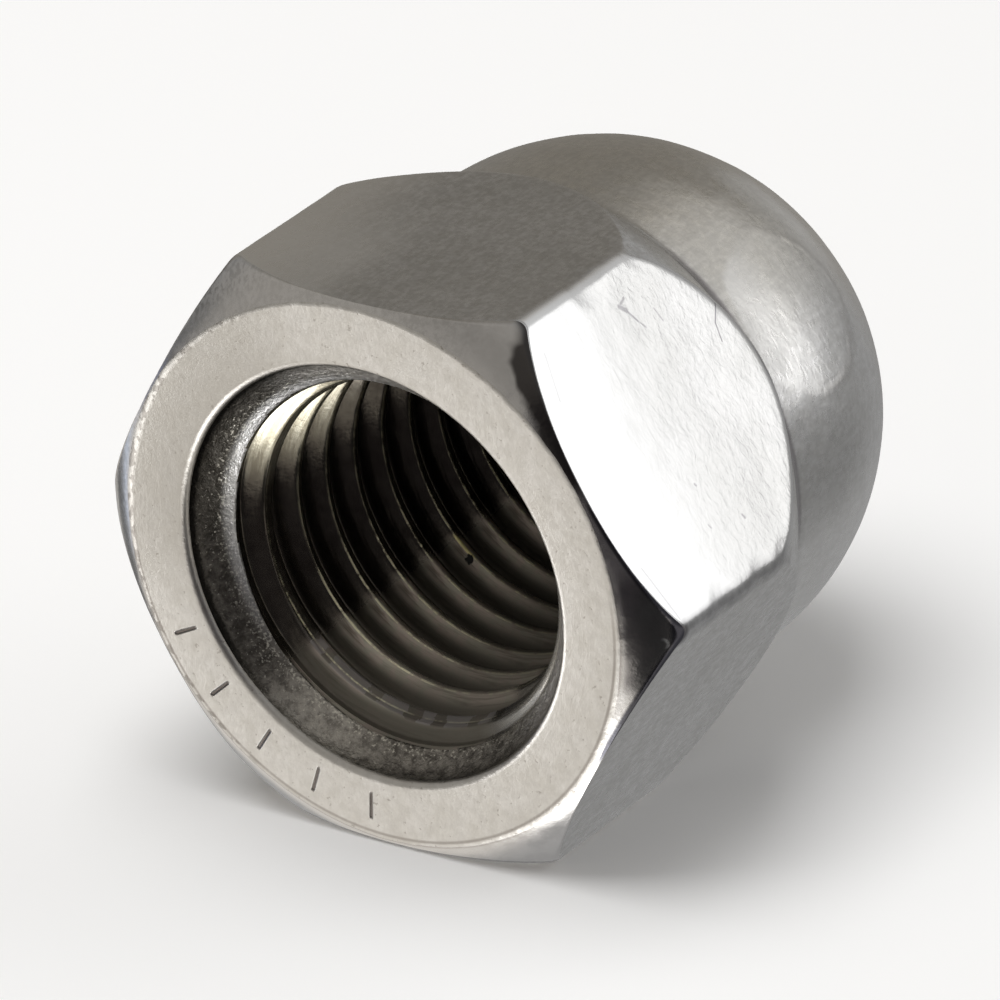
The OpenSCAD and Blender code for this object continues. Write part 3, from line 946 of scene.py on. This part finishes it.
class NUT_OT_body(bpy.types.Operator):
    """Builds the nut as one closed mesh: body, countersink, thread and the bore's end"""

    bl_idname = "nut.body"
    bl_label = "Cap nut"

    def execute(self, context):
        sizes, thread = context.scene.nut_sizes, context.scene.nut_thread
        section = Section(sizes, thread)
        skins = [forged_steel(), turned_steel(), chamfered_steel(), reamed_steel(), threaded_steel()]
        turns, front, back = make_thread(section, thread, skins[THREADED])

        bm = bmesh.new()
        bm.from_mesh(turns)
        for face in bm.faces:
            centre = face.calc_center_median()
            height = centre.y - FACE_Y
            radius = math.hypot(centre.x, centre.z - AXIS_Z)
            sunk = abs(radius - section.cone(height)) < CONE_SLACK and height < sizes.knee_depth
            face.material_index = REAMED if sunk else THREADED
        shell = Shell(bm)

        # Countersink and the inner half of the bearing ring
        inner = [2 * math.pi * i / thread.columns for i in range(thread.columns)]
        half = math.atan((section.sink_r - section.shoulder.x) / section.shoulder.y)
        run = sizes.sink_edge / math.tan(math.pi / 4 + half / 2)
        mouth = Vector((section.sink_r + run, sizes.sink_edge))
        edge_low = Vector((section.sink_r - run * math.sin(half), run * math.cos(half)))
        slope_end = Vector((section.cone(front), front))
        bend_start = section.shoulder.lerp(slope_end, 0.5)
        bend_end = section.shoulder.lerp(edge_low, 0.7)
        path = line(slope_end, bend_start, SLOPE_STEPS)
        path += bend(bend_start, section.shoulder, bend_end, SHOULDER_STEPS)
        path += line(bend_end, edge_low, WALL_STEPS)
        edge = arc(mouth, sizes.sink_edge, math.pi + half, 1.5 * math.pi, MOUTH_STEPS)
        shell.spin(inner, path, REAMED)
        last = shell.spin(inner, edge + [Vector((RING_MIDDLE, 0.0))], TURNED)

        # Outside, from the ring to the top of the dome
        outer = column_angles(section)
        paths = [outer_path(section, a) for a in outer]
        rings = [shell.ring(outer, [path[i][1] for path in paths]) for i in range(len(paths[0]))]
        shell.stitch(last, inner, rings[0], outer, TURNED)
        for i in range(len(rings) - 1):
            shell.join(rings[i], rings[i + 1], paths[0][i + 1][0])
        shell.close(rings[-1], place(0.0, sizes.total_height, 0.0), FORGED)

        # The bore behind the thread
        end = Vector((sizes.bore_end_width / 2, sizes.bore_depth + sizes.bore_end_height))
        wall = Vector((section.bore_r, sizes.bore_depth))
        path = line(Vector((section.bore_r, back)), wall, BORE_STEPS) + line(wall, end, CONE_STEPS)[1:]
        path += line(end, Vector((BORE_TIP, end.y)), END_STEPS)[1:]
        shell.close(shell.spin(inner, path, THREADED), place(0.0, end.y, 0.0), THREADED)

        bmesh.ops.remove_doubles(bm, verts=bm.verts, dist=WELD)
        bmesh.ops.dissolve_degenerate(bm, dist=WELD / 10, edges=bm.edges)
        bmesh.ops.recalc_face_normals(bm, faces=bm.faces)
        open_edges = sum(1 for edge in bm.edges if not edge.is_manifold)
        if open_edges:
            raise RuntimeError(f"the nut is not closed: {open_edges} open edges")
        wear(bm, section)
        for face in bm.faces:
            face.smooth = True
        mesh = bpy.data.meshes.new("cap_nut_skin")
        bm.to_mesh(mesh)
        bm.free()
        for skin in skins:
            mesh.materials.append(skin)
        nut = bpy.data.objects.new("cap_nut_skin", mesh)
        context.scene.collection.objects.link(nut)
        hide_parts(NODE)
        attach(nut, BODY)
        return {"FINISHED"}


def aim(azimuth, elevation):
    """Direction from the nut; azimuth 0 is -Y and 90 is +X, in degrees"""
    a, e = math.radians(azimuth), math.radians(elevation)
    return Vector((math.sin(a) * math.cos(e), -math.cos(a) * math.cos(e), math.sin(e)))


def soft_lamp(name, azimuth, elevation, distance, size, radiance):
    """A rectangular softbox that faces the nut; radiance 1 reflects as white"""
    way = aim(azimuth, elevation)
    data = bpy.data.lights.new(name, "AREA")
    data.shape = "RECTANGLE"
    data.size, data.size_y = size
    data.energy = radiance * math.pi * size[0] * size[1]
    lamp = bpy.data.objects.new(name, data)
    lamp.rotation_euler = way.to_track_quat("Z", "Y").to_euler()
    lamp.location = Vector((0, 0, AXIS_Z)) + way * distance
    lamp.visible_camera = False
    bpy.context.scene.collection.objects.link(lamp)
    return lamp


def studio_world(light):
    """A grey room with soft patches of light and dark, white where the camera sees it"""
    world = bpy.data.worlds.new("studio")
    world.use_nodes = True
    tree = world.node_tree
    tree.nodes.clear()
    wires = Wires(tree)
    way = wires.call("ShaderNodeTexCoord", output="Generated")
    level = (light.room, light.room, light.room)
    for azimuth, elevation, inner, outer, value, tint in ROOM:
        ends = {0: way, 1: aim(azimuth, elevation)}
        near = wires.call("ShaderNodeVectorMath", ends, "Value", operation="DOT_PRODUCT")
        spread = wires.fade(near, math.cos(math.radians(outer)), math.cos(math.radians(inner)))
        level = wires.paint(spread, level, tuple(part * value for part in tint))
    seen = wires.call("ShaderNodeLightPath", output="Is Camera Ray")
    room = wires.call("ShaderNodeBackground", {"Color": level})
    white = wires.call("ShaderNodeBackground", {"Color": (1, 1, 1, 1)})
    both = wires.call("ShaderNodeMixShader", {0: seen, 1: room, 2: white})
    wires.feed(wires.node("ShaderNodeOutputWorld").inputs[0], both)
    return world


def make_floor(light):
    bpy.ops.mesh.primitive_plane_add(size=FLOOR_SIZE)
    floor = bpy.context.object
    floor.name = "floor"
    made = bpy.data.materials.new("floor")
    made.use_nodes = True
    shader = made.node_tree.nodes["Principled BSDF"]
    shader.inputs["Base Color"].default_value = (*light.floor, 1)
    shader.inputs["Roughness"].default_value = FLOOR_ROUGHNESS
    shader.inputs["Specular IOR Level"].default_value = 0.0
    floor.data.materials.append(made)
    return floor


class NUT_OT_stage(bpy.types.Operator):
    """Sets up the floor, the lamps and the camera"""

    bl_idname = "nut.stage"
    bl_label = "Studio"

    def execute(self, context):
        scene = context.scene
        light = scene.nut_light
        scene.view_settings.view_transform = "Standard"
        scene.world = studio_world(light)
        floor = make_floor(light)
        floor.visible_glossy = False
        soft_lamp("side_softbox", *SIDE_LAMP, light.side)
        top = soft_lamp("top_softbox", *TOP_LAMP, light.top)
        top.visible_glossy = False

        data = bpy.data.cameras.new("camera")
        data.sensor_width = 36.0
        data.lens = CAMERA_LENS
        data.clip_start = 0.01
        camera = bpy.data.objects.new("camera", data)
        scene.collection.objects.link(camera)
        look = Matrix.Identity(4)
        for angle, axis in ((CAMERA_AZIMUTH, "Z"), (90 - CAMERA_ELEVATION, "X"), (CAMERA_ROLL, "Z")):
            look = look @ Matrix.Rotation(math.radians(angle), 4, axis)
        back = look.to_3x3() @ Vector((0, 0, 1))
        camera.matrix_world = Matrix.Translation(Vector(CAMERA_TARGET) + back * CAMERA_DISTANCE) @ look
        scene.camera = camera
        return {"FINISHED"}


class NUT_PT_panel(bpy.types.Panel):
    """Lists the steps that build the nut and its studio"""

    bl_idname = "NUT_PT_panel"
    bl_label = "Cap nut"
    bl_space_type = "VIEW_3D"
    bl_region_type = "UI"
    bl_category = "Cap nut"

    def draw(self, context):
        for step in STEPS:
            self.layout.operator(step.bl_idname)


GROUPS = {"nut_sizes": NutSizes, "nut_thread": ThreadSizes, "nut_light": StudioLight}
STEPS = (NUT_OT_body, NUT_OT_stage)


def register():
    for kind in (*GROUPS.values(), *STEPS, NUT_PT_panel):
        bpy.utils.register_class(kind)
    for name, kind in GROUPS.items():
        setattr(bpy.types.Scene, name, bpy.props.PointerProperty(type=kind))


def unregister():
    for name in GROUPS:
        delattr(bpy.types.Scene, name)
    for kind in reversed((*GROUPS.values(), *STEPS, NUT_PT_panel)):
        bpy.utils.unregister_class(kind)


def main():
    register()
    bpy.ops.nut.body()
    bpy.ops.nut.stage()


if __name__ == "__main__":
    main()
